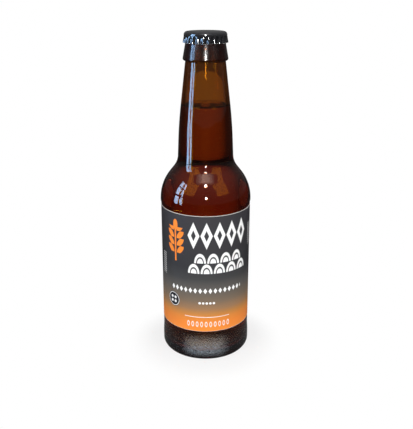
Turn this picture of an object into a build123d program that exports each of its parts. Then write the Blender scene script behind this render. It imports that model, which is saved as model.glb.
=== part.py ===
from build123d import *

import os
from math import atan2, cos, pi, radians, sin, tan

# A 33 cl long-neck beer bottle: the amber glass bottle, the beer in it, its crimped crown cap
# and the paper label round its body. Millimetres, +Z up, origin on the axis at the base, and the
# front, where the label faces, towards -Y.

# Base and body
body_radius = 30.5  # heel band and shoulder band, the widest part
wall = 2.2  # glass at the bands, the shoulder and the neck
heel_rounding = 4.2
bearing_width = 2.9  # flat ring that the bottle stands on, inside the heel's rounding
punt_rise = 3.0  # hollow under the base, at the axis
base_thickness = 3.6  # glass at the axis
floor_edge_thickness = 4.4  # glass where the floor meets the side, before rounding
floor_flat_radius = 12.0
floor_easing = 40.0
inner_heel_rounding = 8.0
heel_band_top = 10.4
heel_band_step = 5.0  # height over which the heel band runs into the panel
heel_band_easing = 40.0
panel_recess = 0.35  # the label's panel lies this deep below the bands
body_height = 119.9  # to the corner of body and shoulder, before rounding
shoulder_band_width = 0.7
shoulder_band_step = 1.6
shoulder_band_easing = 2.0

# Shoulder and neck, as the corners of their outline before rounding
shoulder_height = 15.3
shoulder_rounding = 29.0
neck_foot_radius = 18.58
neck_foot_rounding = 13.7
lower_neck_height = 25.8
neck_middle_radius = 17.45
neck_middle_rounding = 315.0
upper_neck_height = 40.0

# Finish: the moulded top that the crown grips
lip_radius = 13.2
lip_rounding = 1.9
lip_height = 4.0
lip_foot_rounding = 0.8
groove_depth = 0.8  # below the lip
groove_height = 1.3
groove_rounding = 0.6
collar_shoulder_height = 1.2
collar_top_recess = 0.45  # the collar's top lies this far inside the lip
collar_top_rounding = 0.6
collar_height = 11.0
collar_flare = 1.54  # the collar's foot stands this far outside the lip
collar_foot_rounding = 1.2
collar_overhang = 1.85  # the collar's foot stands this far outside the neck
collar_root_rounding = 0.5
bore_radius = 8.4
bore_length = 10.0
bore_easing = 12.0
bore_edge_rounding = 0.5

# Beer
headspace = 46.3  # from the lip down to the beer

# Crown cap
cap_sheet = 0.25
cap_height = 6.8
cap_flutes = 24
cap_fit = 0.25  # between the lip and the inside of the cap's side
cap_corner_rounding = 2.1
cap_plain_depth = 2.5  # from the top down to where the flutes begin
crest_flare = 0.7  # the foot of each crest stands this far outside the plain part
valley_fit = 0.2  # between the collar's top and the inside of the valleys
front_crest = -5.5  # degrees from the front to the crest nearest to it

# Paper label
label_thickness = 0.1
label_gap = 24.0  # bare glass between the label's two ends, at the back
label_margin_below = 7.8
label_margin_above = 1.0

# Raised mould dots on the heel band, with their angles from the front in degrees
dot_height = 7.9
dot_radius = 0.55
dot_rise = 0.3
dot_angles = [-13.2, 2.6, 5.0, 20.5]

# Heights and radii that follow
hollow_radius = body_radius - heel_rounding - bearing_width
panel_radius = body_radius - panel_recess
panel_bottom = heel_band_top + heel_band_step
shoulder_angle = atan2(body_radius - neck_foot_radius, shoulder_height)
shoulder_band_bottom = body_height - shoulder_rounding * tan(shoulder_angle / 2) - shoulder_band_width
panel_top = shoulder_band_bottom - shoulder_band_step
neck_foot = body_height + shoulder_height
neck_middle = neck_foot + lower_neck_height
collar_foot = neck_middle + upper_neck_height
collar_top = collar_foot + collar_height
groove_foot = collar_top + collar_shoulder_height
lip_foot = groove_foot + groove_height
lip_top = lip_foot + lip_height
neck_top_radius = lip_radius + collar_flare - collar_overhang
collar_top_radius = lip_radius - collar_top_recess
beer_level = lip_top - headspace
cap_radius = lip_radius + cap_fit + cap_sheet
cap_top = lip_top + cap_sheet
cap_foot = cap_top - cap_height
flute_top = cap_top - cap_plain_depth

# The flank from the collar down to the body, as (radius, height, rounding) corners. The outside
# of the glass runs through it, and the inside lies one wall further in.
flank = [
    (neck_top_radius, collar_foot, collar_root_rounding),
    (neck_middle_radius, neck_middle, neck_middle_rounding),
    (neck_foot_radius, neck_foot, neck_foot_rounding),
    (body_radius, body_height, shoulder_rounding),
    (body_radius, shoulder_band_bottom, shoulder_band_easing),
]


def one_wall_in(corners):
    """The inside of a wall: its middle corners moved in, with roundings that stay concentric."""
    points = [Vector(radius, height) for radius, height, rounding in corners]
    inside = []
    for before, corner, after, spec in zip(points, points[1:], points[2:], corners[1:]):
        above = (corner - before).normalized()
        below = (after - corner).normalized()
        above_inwards = Vector(above.Y, -above.X)
        below_inwards = Vector(below.Y, -below.X)
        mitre = (above_inwards + below_inwards) / (1 + above_inwards.dot(below_inwards))
        moved = corner + mitre * wall
        waisted = above.cross(below).Z > 0
        rounding = spec[2] + wall if waisted else spec[2] - wall
        inside.append((moved.X, moved.Y, rounding))
    return inside


def half_section(corners):
    """The half section through (radius, height, rounding) corners, closed along the axis."""
    with BuildSketch() as section:
        with BuildLine():
            outline = FilletPolyline(
                *[(radius, height) for radius, height, rounding in corners],
                radius=[rounding for radius, height, rounding in corners[1:-1]],
            )
            Line(outline @ 1, outline @ 0)
        make_face()
    return section.sketch


# The bottle as if it were solid, from the lip down to the base
outside = half_section(
    [
        (0, lip_top, 0),
        (lip_radius, lip_top, lip_rounding),
        (lip_radius, lip_foot, lip_foot_rounding),
        (lip_radius - groove_depth, groove_foot, groove_rounding),
        (collar_top_radius, collar_top, collar_top_rounding),
        (lip_radius + collar_flare, collar_foot, collar_foot_rounding),
        *flank,
        (panel_radius, panel_top, shoulder_band_easing),
        (panel_radius, panel_bottom, heel_band_easing),
        (body_radius, heel_band_top, heel_band_easing),
        (body_radius, 0, heel_rounding),
        (0, 0, 0),
    ]
)

# The space inside the glass, from the mouth down to the floor
neck_slope = atan2(neck_middle_radius - neck_top_radius, upper_neck_height)
cavity = half_section(
    [
        (0, lip_top, 0),
        (bore_radius, lip_top, 0),
        (bore_radius, lip_top - bore_length, bore_easing),
        (neck_top_radius - wall / cos(neck_slope), collar_foot, bore_easing),
        *one_wall_in(flank),
        (body_radius - wall, floor_edge_thickness, inner_heel_rounding),
        (floor_flat_radius, punt_rise + base_thickness, floor_easing),
        (0, punt_rise + base_thickness, 0),
    ]
)


with BuildPart() as bottle:
    with BuildSketch(Plane.XZ):
        add(outside)
    revolve(axis=Axis.Z)
    with BuildSketch(Plane.XZ):
        with BuildLine():
            hollow = TangentArc((0, punt_rise), (hollow_radius, 0), tangent=(1, 0))
            Polyline(hollow @ 1, (0, 0), hollow @ 0)
        make_face()
    revolve(axis=Axis.Z, mode=Mode.SUBTRACT)
    with BuildSketch(Plane.XZ):
        add(cavity)
    revolve(axis=Axis.Z, mode=Mode.SUBTRACT)
    mouth = bottle.edges().filter_by(GeomType.CIRCLE).group_by(Axis.Z)[-1].sort_by(SortBy.RADIUS)[0]
    fillet(mouth, radius=bore_edge_rounding)
    ball_radius = (dot_radius**2 + dot_rise**2) / (2 * dot_rise)
    reach = body_radius + dot_rise - ball_radius
    places = [
        (reach * sin(radians(angle)), -reach * cos(radians(angle)), dot_height)
        for angle in dot_angles
    ]
    with Locations(*places):
        Sphere(ball_radius)
bottle.part.label = "bottle"


with BuildPart() as beer:
    with BuildSketch(Plane.XZ):
        add(cavity)
        with Locations((0, beer_level)):
            Rectangle(body_radius, headspace, align=(Align.MIN, Align.MIN), mode=Mode.SUBTRACT)
    revolve(axis=Axis.Z)
beer.part.label = "beer"


def pressed_form(inset):
    """The crown as a solid block, moved in by inset: 0 for its outside, the sheet for its inside."""
    plain_radius = cap_radius - inset
    crest_radius = plain_radius + crest_flare
    valley_radius = collar_top_radius + valley_fit + cap_sheet - inset
    middle_radius = (crest_radius + valley_radius) / 2
    swing = (crest_radius - valley_radius) / 2
    steps = 4 * cap_flutes
    wave = []
    for step in range(steps):
        turn = 2 * pi * step / steps
        radius = middle_radius + swing * cos(cap_flutes * turn)
        angle = turn + radians(front_crest)
        wave.append((radius * sin(angle), -radius * cos(angle)))
    top = half_section(
        [
            (0, cap_top - inset, 0),
            (plain_radius, cap_top - inset, cap_corner_rounding - inset),
            (plain_radius, flute_top, 0),
            (0, flute_top, 0),
        ]
    )
    with BuildPart() as form:
        with BuildSketch(Plane.XZ):
            add(top)
        revolve(axis=Axis.Z)
        with BuildSketch(Plane.XY.offset(flute_top)):
            Circle(plain_radius)
        with BuildSketch(Plane.XY.offset(cap_foot)):
            with BuildLine():
                Spline(*wave, periodic=True)
            make_face()
        loft()
    return form.part


cap_outside = pressed_form(0)
cap_inside = pressed_form(cap_sheet)
with BuildPart() as crown_cap:
    add(cap_outside)
    add(cap_inside, mode=Mode.SUBTRACT)
crown_cap.part.label = "crown_cap"


with BuildPart() as label:
    label_foot = panel_bottom + label_margin_below
    label_top = panel_top - label_margin_above
    with BuildSketch(Plane.XY.offset(label_foot)):
        Circle(panel_radius + label_thickness)
        Circle(panel_radius, mode=Mode.SUBTRACT)
        with Locations((0, panel_radius)):
            Rectangle(label_gap, panel_radius, mode=Mode.SUBTRACT)
    extrude(amount=label_top - label_foot)
label.part.label = "label"


os.makedirs("parts", exist_ok=True)
for piece in (bottle.part, beer.part, crown_cap.part, label.part):
    export_step(piece, f"parts/{piece.label}.step")
    size = piece.bounding_box().size
    print(f"{piece.label}: {piece.volume / 1000:.2f} cm3, {size.X:.2f} x {size.Y:.2f} x {size.Z:.2f} mm")
print(f"total height {cap_top:.2f}, beer up to {beer_level:.2f}, label {label_foot:.2f} to {label_top:.2f}")
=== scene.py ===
# %% [markdown]
# # A bottle of beer
# A long-neck bottle of amber glass, full of beer, shut with a crimped crown cap and wrapped in a
# printed paper label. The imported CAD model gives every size. This script rebuilds each of its four
# pieces with the smoothness, the optical depth and the print that the real ones have, and then
# sets the bottle on a pale floor in soft studio light.

# %% Load the frame
import random
from math import acos, asin, atan2, ceil, cos, pi, radians, sin, tan

import bmesh
import bpy
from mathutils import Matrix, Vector


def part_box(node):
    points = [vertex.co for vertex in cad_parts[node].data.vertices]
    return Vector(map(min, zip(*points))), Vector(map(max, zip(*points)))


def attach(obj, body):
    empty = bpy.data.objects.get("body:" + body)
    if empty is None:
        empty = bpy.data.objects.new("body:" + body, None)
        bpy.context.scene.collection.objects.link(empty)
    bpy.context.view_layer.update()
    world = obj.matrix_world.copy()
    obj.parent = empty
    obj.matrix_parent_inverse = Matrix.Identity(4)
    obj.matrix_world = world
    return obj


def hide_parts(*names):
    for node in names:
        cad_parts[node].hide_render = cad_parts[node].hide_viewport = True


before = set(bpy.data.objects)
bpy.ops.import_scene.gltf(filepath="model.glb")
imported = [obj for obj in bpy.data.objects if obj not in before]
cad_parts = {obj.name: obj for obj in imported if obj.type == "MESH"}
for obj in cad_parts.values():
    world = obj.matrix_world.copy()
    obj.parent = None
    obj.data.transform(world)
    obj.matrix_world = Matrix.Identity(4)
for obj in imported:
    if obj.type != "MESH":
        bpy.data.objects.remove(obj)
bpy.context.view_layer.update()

mm = 0.001  # every size below is written in millimetres and multiplied by this

# %% [markdown]
# ## What the frame says
# The boxes of the CAD nodes give the radii and heights that the pieces share: the body, the lip,
# the wall between bottle and beer, the beer's level, and the edges of label and cap. What a box
# can't tell, such as the corners of the outline between body and neck, is written out by name.

# %% Sizes read from the frame
bottle_low, bottle_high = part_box("bottle")
beer_low, beer_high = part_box("beer")
cap_low, cap_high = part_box("crown_cap")
label_low, label_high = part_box("label")

body_radius = bottle_high.x
inner_radius = beer_high.x
wall = body_radius - inner_radius
lip_top = bottle_high.z
beer_level = beer_high.z
floor_height = beer_low.z
label_radius = label_high.x
print(f"body {body_radius / mm:.2f}, wall {wall / mm:.2f}, lip {lip_top / mm:.2f}")
print(f"beer up to {beer_level / mm:.2f}")

# %% Sizes of the outline
heel_rounding = 4.2 * mm
hollow_radius = 23.4 * mm  # the hollow under the base, inside the ring that the bottle stands on
hollow_rise = 3.0 * mm
floor_edge = 4.4 * mm  # the floor inside, at the foot of the side
floor_flat_radius = 12.0 * mm
inner_heel_rounding = 8.0 * mm
heel_band_top = 10.4 * mm
panel_foot = 15.4 * mm
panel_recess = 0.35 * mm
body_height = 119.9 * mm
shoulder_rounding = 29.0 * mm
shoulder_band_foot = 109.24 * mm
panel_top = 107.64 * mm
neck_foot = (18.58 * mm, 135.2 * mm, 13.7 * mm)
neck_middle = (17.45 * mm, 161.0 * mm, 315 * mm)
neck_top = (12.89 * mm, 201.0 * mm, 0.5 * mm)
bore_radius = 8.4 * mm
bore_length = 10.0 * mm
bore_easing = 12.0 * mm
lip_radius = 13.2 * mm
collar_radius = 14.74 * mm
around = 160  # steps round the axis

# %% [markdown]
# ## Drawing an outline with extrude and spin
# Everything here is round about one axis, so each piece starts as half of its section. A vertex is
# extruded along the straights, and round each corner it is spun about the corner's own centre,
# which gives a true arc. A curve object or a bevelled polyline would do it too, but a bevel only
# comes near to an arc, and glass shows that in its reflections.

# %% Outline and revolve
smoothness = 0.004 * mm  # how far a chord may lie inside its arc


def start_vertex(name, radius, height):
    """A new mesh with one vertex, selected in edit mode."""
    bpy.ops.object.select_all(action="DESELECT")
    bpy.ops.mesh.primitive_plane_add(size=mm, location=(radius, 0, height))
    piece = bpy.context.object
    piece.name = piece.data.name = name
    bpy.ops.object.transform_apply(location=True, rotation=False, scale=False)
    bpy.ops.object.mode_set(mode="EDIT")
    bpy.ops.mesh.merge(type="CENTER")
    bpy.ops.mesh.select_all(action="SELECT")
    return piece


def extrude_by(step):
    """Extrude the selected vertex by a (radius, height) step."""
    if step.length > smoothness:
        bpy.ops.mesh.extrude_region_move(TRANSFORM_OT_translate={"value": (step.x, 0, step.y)})


def draw_outline(name, corners):
    """Edges through (radius, height, rounding) corners, with a spun arc at each rounded one."""
    piece = start_vertex(name, corners[0][0], corners[0][1])
    pen = Vector(corners[0][:2])
    for before, corner, after in zip(corners, corners[1:], corners[2:]):
        point = Vector(corner[:2])
        rounding = corner[2]
        coming = (point - Vector(before[:2])).normalized()
        leaving = (Vector(after[:2]) - point).normalized()
        turn = atan2(coming.cross(leaving), coming.dot(leaving))
        tangent = rounding * tan(abs(turn) / 2)
        arc_start = point - coming * tangent
        extrude_by(arc_start - pen)
        if rounding > smoothness:
            side = rounding if turn > 0 else -rounding
            centre = arc_start + Vector((-coming.y, coming.x)) * side
            steps = ceil(abs(turn) / (2 * acos(1 - smoothness / rounding)))
            bpy.ops.mesh.spin(
                steps=steps, angle=turn, center=(centre.x, 0, centre.y), axis=(0, 1, 0)
            )
        pen = point + leaving * tangent
    extrude_by(Vector(corners[-1][:2]) - pen)
    return piece


def revolve(piece, steps=around, angle=2 * pi):
    """Spin the outline about the upright axis, close its seam and poles, and turn faces outwards."""
    bpy.ops.mesh.select_all(action="SELECT")
    bpy.ops.mesh.spin(steps=steps, angle=angle, center=(0, 0, 0), axis=(0, 0, 1))
    bpy.ops.mesh.select_all(action="SELECT")
    bpy.ops.mesh.remove_doubles(threshold=0.001 * mm)
    bpy.ops.mesh.normals_make_consistent(inside=False)
    bpy.ops.object.mode_set(mode="OBJECT")
    return piece


def report(piece):
    """Print how large a finished piece is and how many triangles it has."""
    corners = [[vertex.co[axis] / mm for vertex in piece.data.vertices] for axis in range(3)]
    sides = " x ".join(f"{max(values) - min(values):.2f}" for values in corners)
    triangles = sum(len(face.vertices) - 2 for face in piece.data.polygons)
    print(f"{piece.name}: {sides} mm, {triangles} triangles")


def one_wall_in(corners, depth):
    """The middle corners of an outline that runs down the outside, moved in by depth."""
    inside = []
    for before, corner, after in zip(corners, corners[1:], corners[2:]):
        point = Vector(corner[:2])
        coming = (point - Vector(before[:2])).normalized()
        leaving = (Vector(after[:2]) - point).normalized()
        inwards = Vector((coming.y, -coming.x))
        inwards_after = Vector((leaving.y, -leaving.x))
        mitre = (inwards + inwards_after) / (1 + inwards.dot(inwards_after))
        moved = point + mitre * depth
        grows = depth if coming.cross(leaving) > 0 else -depth
        inside.append((moved.x, moved.y, corner[2] + grows))
    return inside


# %% [markdown]
# ## The glass
# The bottle is one closed skin: up the inside from the middle of the floor to the mouth, over the
# lip, and down the outside to the hollow under the base. Modelling the wall's two faces, and not
# giving a sheet a thickness, lets the base be thick and the mouth narrow, as blown glass is, and
# the light then bends through it as through the real bottle.

# %% The bottle's outline
flank = [
    neck_top,
    neck_middle,
    neck_foot,
    (body_radius, body_height, shoulder_rounding),
    (body_radius, shoulder_band_foot, 2 * mm),
]
neck_slope = atan2(neck_middle[0] - neck_top[0], neck_top[1] - neck_middle[1])
inner_neck_top = (neck_top[0] - wall / cos(neck_slope), neck_top[1], bore_easing)
inside = [
    (bore_radius, lip_top - bore_length, bore_easing),
    inner_neck_top,
    *one_wall_in(flank, wall),
    (inner_radius, floor_edge, inner_heel_rounding),
    (floor_flat_radius, floor_height, 40 * mm),
    (0, floor_height, 0),
]
outside = [
    (bore_radius, lip_top, 0.5 * mm),
    (lip_radius, lip_top, 1.9 * mm),
    (lip_radius, lip_top - 4.0 * mm, 0.8 * mm),
    (lip_radius - 0.8 * mm, lip_top - 5.3 * mm, 0.6 * mm),
    (lip_radius - 0.45 * mm, lip_top - 6.5 * mm, 0.6 * mm),
    (collar_radius, neck_top[1], 1.2 * mm),
    *flank,
    (body_radius - panel_recess, panel_top, 2 * mm),
    (body_radius - panel_recess, panel_foot, 40 * mm),
    (body_radius, heel_band_top, 40 * mm),
    (body_radius, 0, heel_rounding),
    (hollow_radius, 0, 0.3 * mm),
]
hollow_arc = (hollow_radius**2 + hollow_rise**2) / (2 * hollow_rise)
hollow_tangent = hollow_arc * tan(asin(hollow_radius / hollow_arc) / 2)
under = [(hollow_tangent, hollow_rise, hollow_arc * 0.999), (0, hollow_rise, 0)]

# %% The bottle
glass_bottle = draw_outline("glass_bottle", [*reversed(inside), *outside, *under])
revolve(glass_bottle)
bpy.ops.object.shade_smooth_by_angle(angle=radians(50))
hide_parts("bottle")
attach(glass_bottle, "root")
report(glass_bottle)

# %% [markdown]
# ## The mould dots
# Four small raised dots stand on the heel, left by the mould, where a plant reads the bottle's
# batch. Each is a low lens of glass, drawn as an outline, spun about its own axis, and laid on the
# heel. One is modelled, and the rest are copies with meshes of their own.

# %% The dots
dot_height = 7.9 * mm
dot_radius = 0.6 * mm
dot_rise = 0.32 * mm
dot_angles = [-13.2, 2.6, 5.0, 20.5]  # degrees from the front


def make_dot(name):
    """A low lens with its flat side down, standing on the origin."""
    dome = [
        (0, -0.1 * mm, 0),
        (dot_radius, -0.1 * mm, 0.08 * mm),
        (dot_radius * 0.72, dot_rise, 0.35 * mm),
        (0, dot_rise, 0),
    ]
    return revolve(draw_outline(name, dome), steps=20)


def lay_on_heel(dot, angle):
    """Turn a dot to face outwards and put it on the heel."""
    turn = radians(angle)
    dot.rotation_euler = (pi / 2, 0, turn)
    dot.location = (body_radius * sin(turn), -body_radius * cos(turn), dot_height)
    bpy.ops.object.select_all(action="DESELECT")
    dot.select_set(True)
    bpy.context.view_layer.objects.active = dot
    bpy.ops.object.transform_apply(location=True, rotation=True, scale=False)


mould_dots = make_dot("mould_dots")
lay_on_heel(mould_dots, dot_angles[0])
more_dots = [make_dot(f"dot_{number}") for number in range(1, len(dot_angles))]
for dot, angle in zip(more_dots, dot_angles[1:]):
    lay_on_heel(dot, angle)
for dot in [mould_dots, *more_dots]:
    dot.select_set(True)
bpy.context.view_layer.objects.active = mould_dots
bpy.ops.object.join()
bpy.ops.object.shade_smooth_by_angle(angle=radians(50))
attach(mould_dots, "root")
report(mould_dots)

# %% [markdown]
# ## The beer
# The drink fills the glass. If it only touched the wall, a film of air would show between the two,
# so its skin lies a little way inside the glass. At its surface the beer climbs the wall in a small
# curve, the meniscus, which shows as a dark line with bright specks.

# %% The beer's outline
reach = 0.15 * mm  # how far the beer's skin lies inside the glass
meniscus_height = 1.5 * mm
meniscus_width = 1.7 * mm


def inner_neck_radius(height):
    """The radius of the inside of the upper neck at a height."""
    share = (inner_neck_top[1] - height) / (inner_neck_top[1] - waist[1])
    return inner_neck_top[0] + (waist[0] - inner_neck_top[0]) * share


waist, inner_neck_foot, inner_shoulder = one_wall_in(flank, wall - reach)
rim_height = beer_level + meniscus_height
beer_outline = [
    (0, beer_level, 0),
    (inner_neck_radius(beer_level) - meniscus_width, beer_level, 2.6 * mm),
    (inner_neck_radius(rim_height) + reach, rim_height, 0.05 * mm),
    waist,
    inner_neck_foot,
    inner_shoulder,
    (inner_radius + reach, floor_edge - reach, inner_heel_rounding),
    (floor_flat_radius, floor_height - reach, 40 * mm),
    (0, floor_height - reach, 0),
]

# %% The beer
beer_fill = draw_outline("beer_fill", beer_outline)
revolve(beer_fill)
bpy.ops.object.shade_smooth_by_angle(angle=radians(60))
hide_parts("beer")
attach(beer_fill, "root")
report(beer_fill)

# %% [markdown]
# ## Light through the drink
# Real lamps light the paper through glass and beer, and its warm glow comes back out at the
# shoulder. To trace how that light bends would take hours, so neither of the two casts a shadow,
# and the lamps reach the paper's inside in a straight line.

# %% No shadow from glass or beer
glass_bottle.visible_shadow = False
beer_fill.visible_shadow = False
print("no shadow:", glass_bottle.name, beer_fill.name)

# %% [markdown]
# ## Bubbles at the edge
# Where the beer's surface meets the glass, a few bubbles cling to the wall. One small dome is
# drawn and spun, and the rest are copies of it, with meshes of their own, in uneven sizes.

# %% The bubbles
random.seed(33)
bubble_count = 36
bubble_radius = 0.42 * mm
bubble_foot = -0.2 * mm  # each bubble sits this deep in the beer
smallest, largest = 0.45, 1.0  # shares of the full size
dome = [
    (0, bubble_foot, 0),
    (bubble_radius, bubble_foot, 0),
    (bubble_radius, bubble_radius, bubble_radius * 0.95),
    (0, bubble_radius, 0),
]
bubbles = revolve(draw_outline("bubbles", dome), steps=14)
copies = [bubbles]
for number in range(1, bubble_count):
    bpy.ops.object.select_all(action="DESELECT")
    bubbles.select_set(True)
    bpy.context.view_layer.objects.active = bubbles
    bpy.ops.object.duplicate(linked=False)
    copies.append(bpy.context.object)
for bubble in copies:
    turn = random.uniform(0, 2 * pi)
    from_wall = random.uniform(0.5, 1.5) * mm
    climb = meniscus_height * (1 - from_wall / meniscus_width) ** 2
    away = inner_neck_radius(beer_level) - from_wall
    bubble.location = (away * sin(turn), -away * cos(turn), beer_level + climb)
    bubble.scale = [random.uniform(smallest, largest)] * 3
    bubble.select_set(True)
bpy.context.view_layer.objects.active = bubbles
bpy.ops.object.transform_apply(location=True, rotation=True, scale=True)
bpy.ops.object.join()
bpy.ops.object.shade_smooth()
bubbles.visible_shadow = False
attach(bubbles, "root")
report(bubbles)

# %% [markdown]
# ## The crown cap
# The cap is a disc of lacquered tinplate, pressed over the lip so that its edge folds into flutes.
# One flute is modelled on a narrow slice of the cap, its columns pulled out or pushed in more and
# more towards the foot, and the slice is then spun round in copies. The sheet gets its thickness
# last.

# %% The cap's sizes
flutes = 24
sheet = 0.25 * mm
cap_top = cap_high.z
cap_foot = cap_low.z
cap_radius = lip_radius + 2 * sheet
cap_corner = 2.1 * mm
flute_top = cap_top - 2.5 * mm
crest_radius = cap_radius + 0.75 * mm
valley_radius = lip_radius - 0.12 * mm
front_crest = radians(-5.5)  # the crest nearest to the front
slice_angle = 2 * pi / flutes
columns = 12  # steps across one flute
rows = 8  # steps down one flute


# %% One flute
def select_vertices(piece, test):
    """Select, in edit mode, the vertices whose place passes the test."""
    bpy.ops.mesh.select_all(action="DESELECT")
    mesh = bmesh.from_edit_mesh(piece.data)
    for vertex in mesh.verts:
        vertex.select = test(vertex.co)
    mesh.select_flush(True)
    bmesh.update_edit_mesh(piece.data)


def flute_radius(turn, depth):
    """The cap's radius at an angle from a crest, and at a depth from 0, plain, to 1, the foot."""
    wave = (1 + cos(turn * flutes)) / 2
    pressed = 1 - (1 - depth) ** 2.5  # the valleys go in at once, and the crests flare evenly
    crest = cap_radius + (crest_radius - cap_radius) * depth
    valley = cap_radius + (valley_radius - cap_radius) * pressed
    return valley + (crest - valley) * wave**0.9


cap_outline = [
    (0, cap_top, 0),
    (cap_radius, cap_top, cap_corner),
    (cap_radius, flute_top, 0),
]
crown = draw_outline("crown", cap_outline)
bpy.ops.mesh.select_mode(type="VERT")
bpy.ops.mesh.select_all(action="SELECT")
bpy.ops.mesh.spin(steps=columns, angle=slice_angle, center=(0, 0, 0), axis=(0, 0, 1))
bpy.ops.mesh.select_all(action="SELECT")
bpy.ops.mesh.remove_doubles(threshold=0.001 * mm)
near = 0.01 * mm
row_step = (cap_foot - flute_top) / rows
for row in range(rows):
    height = flute_top + row_step * row
    select_vertices(crown, lambda place: abs(place.z - height) < near)
    bpy.ops.mesh.extrude_region_move(TRANSFORM_OT_translate={"value": (0, 0, row_step)})
    depth = (row + 1) / rows
    for column in range(columns + 1):
        turn = slice_angle * column / columns

        def in_column(place):
            angle = abs(atan2(place.y, place.x))
            in_row = abs(place.z - height - row_step) < near
            return in_row and abs(angle - turn) < slice_angle / columns / 3

        select_vertices(crown, in_column)
        before_radius = flute_radius(turn, row / rows) if row else cap_radius
        factor = flute_radius(turn, depth) / before_radius
        bpy.ops.transform.resize(value=(factor, factor, 1), center_override=(0, 0, 0))

# %% The whole cap
bpy.ops.mesh.select_all(action="SELECT")
bpy.ops.mesh.spin(
    steps=flutes - 1,
    angle=slice_angle * (flutes - 1),
    center=(0, 0, 0),
    axis=(0, 0, 1),
    dupli=True,
)
bpy.ops.mesh.select_all(action="SELECT")
bpy.ops.mesh.remove_doubles(threshold=0.005 * mm)
bpy.ops.mesh.normals_make_consistent(inside=False)
bpy.ops.object.mode_set(mode="OBJECT")
crown.rotation_euler = (0, 0, front_crest - pi / 2)
bpy.ops.object.transform_apply(location=False, rotation=True, scale=False)
thickness = crown.modifiers.new("thickness", "SOLIDIFY")
thickness.thickness = sheet
thickness.offset = -1
bpy.ops.object.modifier_apply(modifier="thickness")
bpy.ops.object.shade_smooth_by_angle(angle=radians(50))
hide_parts("crown_cap")
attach(crown, "root")
report(crown)

# %% [markdown]
# ## The label
# The label is one sheet of coated paper, glued round the sunk panel of the body, with its two ends
# a little way apart at the back. An upright edge is spun round the axis, and Solidify gives the
# sheet its thickness. It is set a hair into the glass, as glue would, so that no air shows behind.

# %% The label
label_foot = label_low.z
label_top = label_high.z
glue = 0.02 * mm
label_inner = body_radius - panel_recess - glue
paper = label_radius - label_inner
half_gap = acos(label_high.y / label_radius)  # half of the bare strip at the back, as an angle
print(f"bare strip at the back {2 * half_gap * label_radius / mm:.1f} mm")

label_wrap = start_vertex("label_wrap", label_radius, label_foot)
extrude_by(Vector((0, label_top - label_foot)))
bpy.ops.mesh.select_all(action="SELECT")
bpy.ops.transform.rotate(
    value=-(pi / 2 - half_gap), orient_axis="Z", center_override=(0, 0, 0)
)
end = bmesh.from_edit_mesh(label_wrap.data).verts[:][0].co
print(f"the label runs from x {end.x / mm:.1f}, y {end.y / mm:.1f}")
bpy.ops.mesh.spin(
    steps=around, angle=2 * pi - 2 * half_gap, center=(0, 0, 0), axis=(0, 0, 1)
)
bpy.ops.mesh.select_all(action="SELECT")
bpy.ops.mesh.normals_make_consistent(inside=False)
bpy.ops.object.mode_set(mode="OBJECT")
thickness = label_wrap.modifiers.new("thickness", "SOLIDIFY")
thickness.thickness = paper
thickness.offset = -1
bpy.ops.object.modifier_apply(modifier="thickness")
bpy.ops.object.shade_smooth_by_angle(angle=radians(40))
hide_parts("label")
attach(label_wrap, "root")
report(label_wrap)

# %% [markdown]
# ## A small language for shaders
# A material is a graph of nodes, but the thoughts behind it are sums: a mask times a colour, one
# minus a mask. So a socket is wrapped in a class whose + - * / add the Math nodes, and one method
# adds any other node.


# %% Wires and shaders
class Wire:
    """A node's output. Maths on it adds Math nodes, and numbers may stand on either side."""

    def __init__(self, shader, socket):
        self.shader = shader
        self.socket = socket

    def maths(self, operation, *values):
        return self.shader.node("ShaderNodeMath", {"operation": operation}, dict(enumerate(values)))

    def __add__(self, other):
        return self.maths("ADD", self, other)

    def __sub__(self, other):
        return self.maths("SUBTRACT", self, other)

    def __rsub__(self, other):
        return self.maths("SUBTRACT", other, self)

    def __mul__(self, other):
        return self.maths("MULTIPLY", self, other)

    def __truediv__(self, other):
        return self.maths("DIVIDE", self, other)

    def __abs__(self):
        return self.maths("ABSOLUTE", self)

    def root(self):
        return self.maths("SQRT", self)

    __radd__ = __add__
    __rmul__ = __mul__


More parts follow.
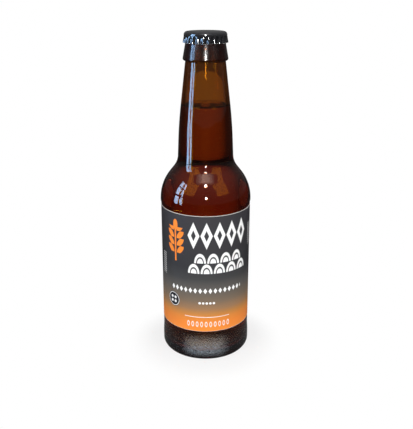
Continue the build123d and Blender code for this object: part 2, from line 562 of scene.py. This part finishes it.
class Shader:
    """A material's node tree, built one node at a time."""

    def __init__(self, name):
        self.material = bpy.data.materials.new(name)
        self.material.use_nodes = True
        self.tree = self.material.node_tree
        self.tree.nodes.clear()
        self.output = self.tree.nodes.new("ShaderNodeOutputMaterial")

    def node(self, kind, settings=None, inputs=None, output=0):
        """Add a node: its settings first, then the values or wires of its sockets."""
        node = self.tree.nodes.new(kind)
        for setting, value in (settings or {}).items():
            if setting == "stops":
                set_stops(node.color_ramp, value)
            else:
                setattr(node, setting, value)
        for socket, value in (inputs or {}).items():
            if isinstance(value, Wire):
                self.tree.links.new(value.socket, node.inputs[socket])
            else:
                node.inputs[socket].default_value = value
        return Wire(self, node.outputs[output])

    def mix(self, mask, colour_a, colour_b):
        """Colour a where the mask is 0, and colour b where it is 1."""
        inputs = {0: mask, 6: colour_a, 7: colour_b}
        return self.node("ShaderNodeMix", {"data_type": "RGBA"}, inputs, output=2)

    def place(self):
        """The point's place on the object, as x, y and z wires in millimetres."""
        whole = self.node("ShaderNodeTexCoord", output=3)
        parts = [
            self.node("ShaderNodeSeparateXYZ", inputs={0: whole}, output=axis) for axis in range(3)
        ]
        return whole, *[part * (1 / mm) for part in parts]

    def fade(self, value, start, end):
        """0 before start and 1 after end, with a smooth step between."""
        settings = {"interpolation_type": "SMOOTHSTEP"}
        return self.node("ShaderNodeMapRange", settings, {0: value, 1: start, 2: end})

    def noise(self, vector, scale, detail=3.0, roughness=0.5, stretch=(1, 1, 1)):
        """Noise from 0 to 1 on a place, squeezed along its axes by stretch."""
        moved = self.node("ShaderNodeMapping", inputs={"Vector": vector, "Scale": stretch})
        inputs = {"Vector": moved, "Scale": scale, "Detail": detail, "Roughness": roughness}
        return self.node("ShaderNodeTexNoise", inputs=inputs)

    def bump(self, height, strength, distance):
        inputs = {"Strength": strength, "Distance": distance, "Height": height}
        return self.node("ShaderNodeBump", inputs=inputs)

    def surface(self, inputs):
        """A Principled shader."""
        return self.node("ShaderNodeBsdfPrincipled", inputs=inputs)

    def finish(self, surface, volume=None):
        self.tree.links.new(surface.socket, self.output.inputs["Surface"])
        if volume:
            self.tree.links.new(volume.socket, self.output.inputs["Volume"])
        print(f"{self.material.name}: {len(self.tree.nodes)} nodes")
        return self.material


def set_stops(ramp, stops):
    """Give a colour ramp its (position, colour) stops."""
    while len(ramp.elements) > 1:
        ramp.elements.remove(ramp.elements[-1])
    ramp.elements[0].position, ramp.elements[0].color = stops[0][0], (*stops[0][1], 1)
    for position, colour in stops[1:]:
        ramp.elements.new(position).color = (*colour, 1)


def length(a, b):
    """The length of a step with the sides a and b."""
    return (a * a + b * b).root()


def dress(piece, material):
    """Give a piece this material and no other."""
    piece.data.materials.clear()
    piece.data.materials.append(material)


# %% [markdown]
# ## Amber glass
# Brown glass takes its colour in depth, from iron and sulphur all through it, so the colour is a
# volume that absorbs blue most, then green, and the skin stays nearly clear. The mould leaves the
# skin a little wavy, the thick pressed finish at the top is darker and less smooth, and the heel,
# which rubs on others in the crate, is scuffed. Over the scuffs lies a painted blue-grey reflection,
# strongest where the heel faces the front or the back and faint at the sides.

# %% The glass material
amber = Shader("amber_glass")
whole, x, y, z = amber.place()
swell = amber.noise(whole, 90.0, detail=1.0, stretch=(1, 1, 0.18))
ripple = amber.noise(whole, 420.0, detail=2.0, stretch=(1, 1, 0.35))
waves = amber.bump(swell + ripple * 0.12, 0.35, 0.25 * mm)
smear = amber.noise(whole, 60.0, detail=5.0, roughness=0.65)
skin_colour = amber.mix(smear, (0.88, 0.70, 0.44, 1), (0.94, 0.78, 0.52, 1))
collar_foot = neck_top[1] / mm
moulded = amber.fade(z, collar_foot - 1.0, collar_foot + 0.5)
body_and_finish = amber.mix(moulded, skin_colour, (0.42, 0.26, 0.14, 1))
glass = amber.surface(
    {
        "Base Color": body_and_finish,
        "Roughness": smear * 0.03 + moulded * 0.17,
        "IOR": 1.5,
        "Transmission Weight": 1.0,
        "Normal": waves,
    }
)
# painted reflection over real scuffs: a pale blue-grey layer on the heel band, strong at the front
# and back, faint at the sides
scuffs = amber.noise(whole, 900.0, detail=4.0, roughness=0.7, stretch=(1, 1, 1.6))
heel_haze = amber.fade(z, 2.0, 8.0) * (1 - amber.fade(z, 9.5, 22.0))
scuff_and_reflection_haze = amber.surface({"Base Color": (0.30, 0.34, 0.38, 1), "Roughness": 0.6})
facing = abs(y) / length(x, y)  # 1 at the front and the back, 0 at the sides
painted_reflection_facing = 0.05 + 0.62 * amber.fade(facing, 0.82, 0.99)
scuffs_and_painted_reflection = heel_haze * amber.fade(scuffs, 0.2, 0.8) * painted_reflection_facing
skin = amber.node("ShaderNodeMixShader", inputs={0: scuffs_and_painted_reflection, 1: glass, 2: scuff_and_reflection_haze})
depth = amber.node(
    "ShaderNodeVolumeAbsorption", inputs={"Color": (0.845, 0.643, 0.0, 1), "Density": 1000.0}
)
dress(glass_bottle, amber.finish(skin, depth))

# %% [markdown]
# ## The dots' own finish
# A raised dot works as a small strong lens. It bends the light behind it away, so it looks dark,
# with a speck of light on top. Dark glossy paint gives that look without a lens to trace.

# %% The dots' material
studs = Shader("moulded_studs")
whole, x, y, z = studs.place()
mottle = studs.noise(whole, 1500.0, detail=2.0)
stud_skin = studs.surface(
    {
        "Base Color": studs.mix(mottle, (0.006, 0.005, 0.004, 1), (0.014, 0.010, 0.008, 1)),
        "Roughness": 0.06 + mottle * 0.08,
        "IOR": 1.5,
    }
)
dress(mould_dots, studs.finish(stud_skin))

# %% [markdown]
# ## Beer
# The beer is clear too, and darker with every millimetre: brown in the neck, nearly black where it
# fills the body. Its colour is again a volume, weaker than the glass's, over a much longer way.

# %% The beer material
ale = Shader("ale")
whole, x, y, z = ale.place()
cloud = ale.noise(whole, 120.0, detail=2.0)
ale_colour = ale.mix(cloud, (0.95, 0.86, 0.68, 1), (0.98, 0.92, 0.78, 1))
drink = ale.surface(
    {
        "Base Color": ale_colour,
        "Roughness": 0.0,
        "IOR": 1.34,
        "Transmission Weight": 1.0,
        "Normal": ale.bump(cloud, 0.1, 0.1 * mm),
    }
)
ale_depth = ale.node(
    "ShaderNodeVolumeAbsorption", inputs={"Color": (0.95, 0.765, 0.0, 1), "Density": 160.0}
)
ale_material = ale.finish(drink, ale_depth)
dress(beer_fill, ale_material)
dress(bubbles, ale_material)

# %% [markdown]
# ## Lacquered tinplate
# The cap is black lacquer on steel: a dark base under a glossy coat that follows the fine orange
# peel of the sheet. At the cut edge the press leaves the steel bare.

# %% The cap material
lacquer = Shader("black_lacquer")
whole, x, y, z = lacquer.place()
peel = lacquer.noise(whole, 700.0, detail=2.0)
wear = lacquer.noise(whole, 1500.0, detail=4.0, roughness=0.7)
cut_edge = 1 - lacquer.fade(z, cap_foot / mm + 0.02, cap_foot / mm + 0.16)
bare = cut_edge * lacquer.fade(wear, 0.35, 0.6)
black = lacquer.mix(wear, (0.004, 0.0045, 0.0055, 1), (0.010, 0.011, 0.013, 1))
tin = lacquer.surface(
    {
        "Base Color": lacquer.mix(bare, black, (0.55, 0.54, 0.52, 1)),
        "Metallic": bare,
        "Roughness": 0.30 + wear * 0.15,
        "Specular IOR Level": 0.05,
        "Coat Weight": 1 - bare,
        "Coat Roughness": 0.05,
        "Coat IOR": 2.0,
        "Normal": lacquer.bump(peel, 0.15, 0.04 * mm),
    }
)
dress(crown, lacquer.finish(tin))

# %% [markdown]
# ## The printed paper
# The print runs from charcoal at the top to warm orange at the foot. On it lie plain shapes in
# white and orange: an ear of barley, a row of diamonds, two rows of scales, rules and small dots.
# Each shape is a sum on two numbers, the way round the label from the front, s, and the height, z,
# both in millimetres, so it stays crisp at any size and wraps round the body without a seam.

# %% Where on the label
printed = Shader("printed_paper")
whole, x, y, z = printed.place()
turn = x.maths("ARCTAN2", x, y * -1)
s = turn * (label_radius / mm)
soft = 0.06  # how far the ink's edge fades, in mm


def below(value, edge):
    """1 where the value is under the edge."""
    return 1 - printed.fade(value, edge - soft, edge + soft)


def either(mask_a, mask_b):
    return mask_a.maths("MAXIMUM", mask_a, mask_b)


def between(value, low, high):
    """1 where the value lies from low to high."""
    return below(abs(value - (low + high) / 2), (high - low) / 2)


def cell(value, start, pitch):
    """The distance from the middle of the nearest cell, for cells that repeat from start."""
    return value.maths("WRAP", value - start, pitch / 2, -pitch / 2)


# %% Diamonds, scales and barley
white_ink = []
orange_ink = []

# a row of five tall diamonds, each with a dark eye
diamond = abs(cell(s, -8.0, 8.7)) / 4.0 + abs(z - 93.0) / 9.2
diamonds = between(s, -12.3, 31.2) * below(diamond, 1.0) * (1 - below(diamond, 0.42))
white_ink.append(diamonds)

# two rows of scales, half a step apart
for row, (foot, start) in enumerate([(66.3, -8.0), (73.8, -3.65)]):
    arch = length(cell(s, start, 8.7) / 3.9, (z - foot) / 6.8)
    row_mask = between(s, -12.3 + row * 4.35, 31.2 - row * 4.35) * between(z, foot, foot + 7.4)
    scales = row_mask * below(arch, 1.0) * (1 - between(arch, 0.5, 0.68))
    white_ink.append(scales)

# an ear of barley: grains in pairs that lean out from the stem, with one grain at the tip
ear_middle = -21.6
aside = abs(s - ear_middle)
grains_out = 3.9
up = cell(z, 81.6, 5.2)
lean = radians(38)
along = up * cos(lean) + (aside - grains_out) * sin(lean)
across = (aside - grains_out) * cos(lean) - up * sin(lean)
grains = below(length(along / 3.9, across / 1.75), 1.0) * between(z, 79.0, 97.2)
tip = below(length((z - 98.6) / 3.8, (s - ear_middle) / 1.9), 1.0)
stem = below(aside, 0.6) * between(z, 73.0, 97.0)
orange_ink.append(either(either(grains, tip), stem))

# %% Rules, dots and the seal
# a line of small lozenges, a shorter line of dots, a thin rule and a line of small drops
lozenge = abs(cell(s, -24.0, 3.4)) / 1.25 + abs(z - 53.6) / 2.0
white_ink.append(below(lozenge, 1.0) * between(s, -25.7, 26.7))
dots = below(length(cell(s, -4.0, 2.4), z - 44.6), 0.85)
white_ink.append(dots * between(s, -5.3, 6.9))
white_ink.append(between(z, 33.8, 34.2) * between(s, -14.6, 16.8))
drop = length(cell(s, -12.0, 3.1) / 0.95, (z - 28.6) / 2.1)
white_ink.append(between(drop, 0.55, 1.0) * between(s, -13.4, 17.4) * 0.75)

# a plain dark seal: a ring with four round petals
seal = length(s + 24.0, z - 44.0)
dark_ink = [below(seal, 5.3)]
white_ink.append(between(seal, 4.55, 4.95))
petal = length(abs(s + 24.0) - 1.5, abs(z - 44.0) - 1.5)
white_ink.append(below(petal, 1.0))

# columns of fine dashes on both sides, where a label has its small print
for side_middle, foot, top in [(-34.5, 60.0, 76.0), (38.5, 80.0, 96.0)]:
    rows = between(abs(cell(z, foot, 1.5)), -0.45, 0.45) * between(z, foot, top)
    dashes = between(abs(cell(s, side_middle, 1.6)), -0.5, 0.5)
    column = between(s, side_middle - 2.2, side_middle + 2.2)
    white_ink.append(rows * dashes * column * 0.6)


# %% The paper material
def joined(masks):
    """One mask from many."""
    whole_mask = masks[0]
    for mask in masks[1:]:
        whole_mask = either(whole_mask, mask)
    return whole_mask


label_height = (label_top - label_foot) / mm
share = (z - label_foot / mm) / label_height


def stop(height, colour):
    """A ramp stop at a height in millimetres."""
    return ((height - label_foot / mm) / label_height, colour)


ground = printed.node(
    "ShaderNodeValToRGB",
    {
        "stops": [
            stop(23.5, (0.80, 0.240, 0.036)),
            stop(28.5, (0.76, 0.220, 0.032)),
            stop(33.0, (0.64, 0.212, 0.036)),
            stop(36.5, (0.46, 0.195, 0.048)),
            stop(40.0, (0.29, 0.160, 0.078)),
            stop(46.0, (0.170, 0.125, 0.086)),
            stop(54.0, (0.100, 0.092, 0.083)),
            stop(62.0, (0.050, 0.050, 0.051)),
            stop(70.0, (0.034, 0.034, 0.037)),
            stop(106.0, (0.040, 0.038, 0.043)),
        ]
    },
    {0: share},
)
fibre = printed.noise(whole, 2400.0, detail=4.0, roughness=0.7)
blotch = printed.noise(whole, 55.0, detail=3.0)
inked = printed.mix(joined(dark_ink), ground, (0.022, 0.023, 0.028, 1))
inked = printed.mix(joined(white_ink) * (0.94 + fibre * 0.06), inked, (0.84, 0.84, 0.83, 1))
inked = printed.mix(joined(orange_ink), inked, (0.86, 0.235, 0.025, 1))
uneven = (fibre - 0.5) * 0.10 + (blotch - 0.5) * 0.12 + 1
toned = printed.node(
    "ShaderNodeVectorMath", {"operation": "SCALE"}, {0: inked, 3: uneven}
)
edge = 1 - below(z, label_top / mm - 0.25) * (1 - below(z, label_foot / mm + 0.15))
outer = length(x, y)
printed_face = printed.fade(outer, label_radius / mm - 0.08, label_radius / mm - 0.05)
faces = printed.mix(printed_face, (0.17, 0.15, 0.12, 1), toned)  # the paper's back is painted darker, as painted shade, since the lamps reach it with no shadow from glass or beer
paper_sheet = printed.surface(
    {
        "Base Color": printed.mix(edge, faces, (0.70, 0.68, 0.64, 1)),
        "Roughness": 0.42 + fibre * 0.16,
        "Specular IOR Level": 0.16,
        "Normal": printed.bump(fibre + blotch * 2, 0.15, 0.04 * mm),
    }
)
dress(label_wrap, printed.finish(paper_sheet))

# %% [markdown]
# ## The floor and the light
# The bottle stands on a pale floor that runs on to a white distance. Glass shows its surroundings
# more than itself, so the room matters: it is dim, with a tall barred window at the left, a small
# bright lamp in front, another higher up and a soft oval light overhead. The camera sees the floor
# white. Rays that bounced off the glass or passed through it see it as dim as such a room is,
# apart from a glow straight behind.

# %% The floor
bpy.ops.object.select_all(action="DESELECT")
bpy.ops.mesh.primitive_plane_add(size=1.0, location=(0, 0, 0))
floor = bpy.context.object
floor.name = "floor"
bpy.ops.transform.resize(value=(6, 6, 1))
bpy.ops.object.transform_apply(location=True, rotation=True, scale=True)

pale = Shader("pale_floor")
whole, x, y, z = pale.place()
away = length(x, y)
grain = pale.noise(whole, 40.0, detail=3.0)
board = pale.surface(
    {
        "Base Color": pale.mix(grain, (0.80, 0.80, 0.80, 1), (0.83, 0.83, 0.83, 1)),
        "Roughness": 0.6,
    }
)
white = pale.node("ShaderNodeEmission", inputs={"Color": (1, 1, 1, 1), "Strength": 1.0})
to_camera, to_gloss, to_glass = [
    pale.node("ShaderNodeLightPath", output=name)
    for name in ("Is Camera Ray", "Is Glossy Ray", "Is Transmission Ray")
]
near_white = 0.66 + pale.fade(away, 33.0, 58.0) * 0.34
seen = to_camera + to_gloss + to_glass
whiten = seen.maths("MINIMUM", seen, 1) * near_white
lit = pale.node("ShaderNodeMixShader", inputs={0: whiten, 1: board, 2: white})
across = abs(y) / away
glow = 0.04 + 0.26 * pale.fade(across, 0.88, 0.999)
dimness = to_glass * glow + to_gloss * 0.03
dim = pale.node("ShaderNodeEmission", inputs={"Color": (1, 1, 1, 1), "Strength": dimness})
far_gloss = to_gloss * (0.88 + 0.12 * pale.fade(away, 60.0, 200.0))
far = far_gloss + to_glass * pale.fade(away, 110.0, 420.0)
floor_skin = pale.node("ShaderNodeMixShader", inputs={0: far, 1: lit, 2: dim})
dress(floor, pale.finish(floor_skin))

# %% The room
world = bpy.data.worlds.new("room")
bpy.context.scene.world = world
world.use_nodes = True
room = world.node_tree
room.nodes.clear()
light_path = room.nodes.new("ShaderNodeLightPath")
direction = room.nodes.new("ShaderNodeTexCoord")
parts = room.nodes.new("ShaderNodeSeparateXYZ")
room.links.new(direction.outputs["Generated"], parts.inputs[0])
shade = room.nodes.new("ShaderNodeValToRGB")
walls = [  # from straight down, over level, to straight up
    (0.0, (0.1, 0.1, 0.1)),
    (0.5, (0.12, 0.12, 0.12)),
    (0.56, (0.10, 0.10, 0.105)),
    (1.0, (0.30, 0.30, 0.31)),
]
set_stops(shade.color_ramp, walls)
rise = room.nodes.new("ShaderNodeMapRange")
rise.inputs["From Min"].default_value = -1
room.links.new(parts.outputs["Z"], rise.inputs["Value"])
room.links.new(rise.outputs["Result"], shade.inputs["Fac"])
ambient = room.nodes.new("ShaderNodeBackground")
ambient.inputs["Strength"].default_value = 1.0
room.links.new(shade.outputs["Color"], ambient.inputs["Color"])
distance = room.nodes.new("ShaderNodeBackground")
distance.inputs["Color"].default_value = (1, 1, 1, 1)
choice = room.nodes.new("ShaderNodeMixShader")
room.links.new(light_path.outputs["Is Camera Ray"], choice.inputs[0])
room.links.new(ambient.outputs[0], choice.inputs[1])
room.links.new(distance.outputs[0], choice.inputs[2])
surround = room.nodes.new("ShaderNodeOutputWorld")
room.links.new(choice.outputs[0], surround.inputs["Surface"])
print(f"room: {len(room.nodes)} nodes")


# %% The lamps
def lamp(name, place, size, power, colour=(1, 1, 1), aim=(0, 0, 0.11)):
    """An area lamp at a place, turned towards the aim."""
    light = bpy.data.lights.new(name, "AREA")
    light.shape = "RECTANGLE"
    light.size, light.size_y = size
    light.energy = power
    light.color = colour
    holder = bpy.data.objects.new(name, light)
    bpy.context.scene.collection.objects.link(holder)
    holder.location = place
    holder.rotation_euler = (Vector(aim) - Vector(place)).to_track_quat("-Z", "Y").to_euler()
    holder.visible_camera = False
    print(f"{name}: {power:.2f} W at", [round(side, 2) for side in place])
    return holder


def towards(azimuth, elevation, reach):
    """A place at a distance, by degrees right of the front and degrees up."""
    turn, up = radians(azimuth), radians(elevation)
    return (reach * cos(up) * sin(turn), -reach * cos(up) * cos(turn), 0.11 + reach * sin(up))


key = lamp("key", towards(1, 15, 1.1), (0.11, 0.11), 4.6)
high = lamp("high", towards(0, 48, 1.1), (0.15, 0.15), 3.2)
key.data.shape = high.data.shape = "DISK"

# three ovals one under the other, so that the light overhead fades towards its rim
for ring, size in enumerate([(0.95, 0.42), (0.70, 0.30), (0.45, 0.19)]):
    above = lamp(f"above_{ring}", towards(-2, 61, 1.2 - 0.02 * ring), size, 0.42 - 0.09 * ring)
    above.data.shape = "ELLIPSE"

# wide fills light the paper and the floor, and are kept out of the reflections
fill_left = lamp("fill_left", towards(-50, 35, 1.5), (0.9, 0.9), 9.0)
fill_right = lamp("fill_right", towards(50, 35, 1.5), (0.9, 0.9), 8.0)
fill_left.visible_glossy = False
fill_right.visible_glossy = False

# %% The window
window_turn = radians(-71)
window_reach = 0.62
pane_columns = [(-0.0625, 0.12), (0.085, 0.07)]  # middle and width of each column of panes
pane_height, bar = 0.175, 0.04
pane_power = 44.0  # watts for each square metre
window_middle = 0.32  # above the floor
sky = (0.36, 0.61, 1.0)
sideways = Vector((cos(window_turn), sin(window_turn), 0))
middle = Vector((sin(window_turn), -cos(window_turn), 0)) * window_reach
middle.z = window_middle
for row in (-1, 0, 1):
    for column, (beside, pane_width) in enumerate(pane_columns):
        place = middle + sideways * beside
        place.z += row * (pane_height + bar)
        size = (pane_width, pane_height)
        power = pane_power * pane_width * pane_height
        pane = lamp(f"pane_{column}_{row}", place, size, power, sky, aim=(0, 0, place.z))
        pane.visible_diffuse = False

# %% [markdown]
# ## The camera
# It looks down on the bottle from a little over the cap, at arm's length.

# %% The camera
camera_data = bpy.data.cameras.new("camera")
camera = bpy.data.objects.new("camera", camera_data)
bpy.context.scene.collection.objects.link(camera)
bpy.context.scene.camera = camera
looks_down = 19.76  # degrees
camera_data.lens = 53.69
camera_data.sensor_width = 36.0
camera.location = (0.62 * mm, -414.13 * mm, 245.96 * mm)
camera.rotation_euler = (radians(90 - looks_down), 0, 0)
bpy.context.scene.view_settings.view_transform = "Standard"
print("camera at", [round(side / mm) for side in camera.location], "mm")
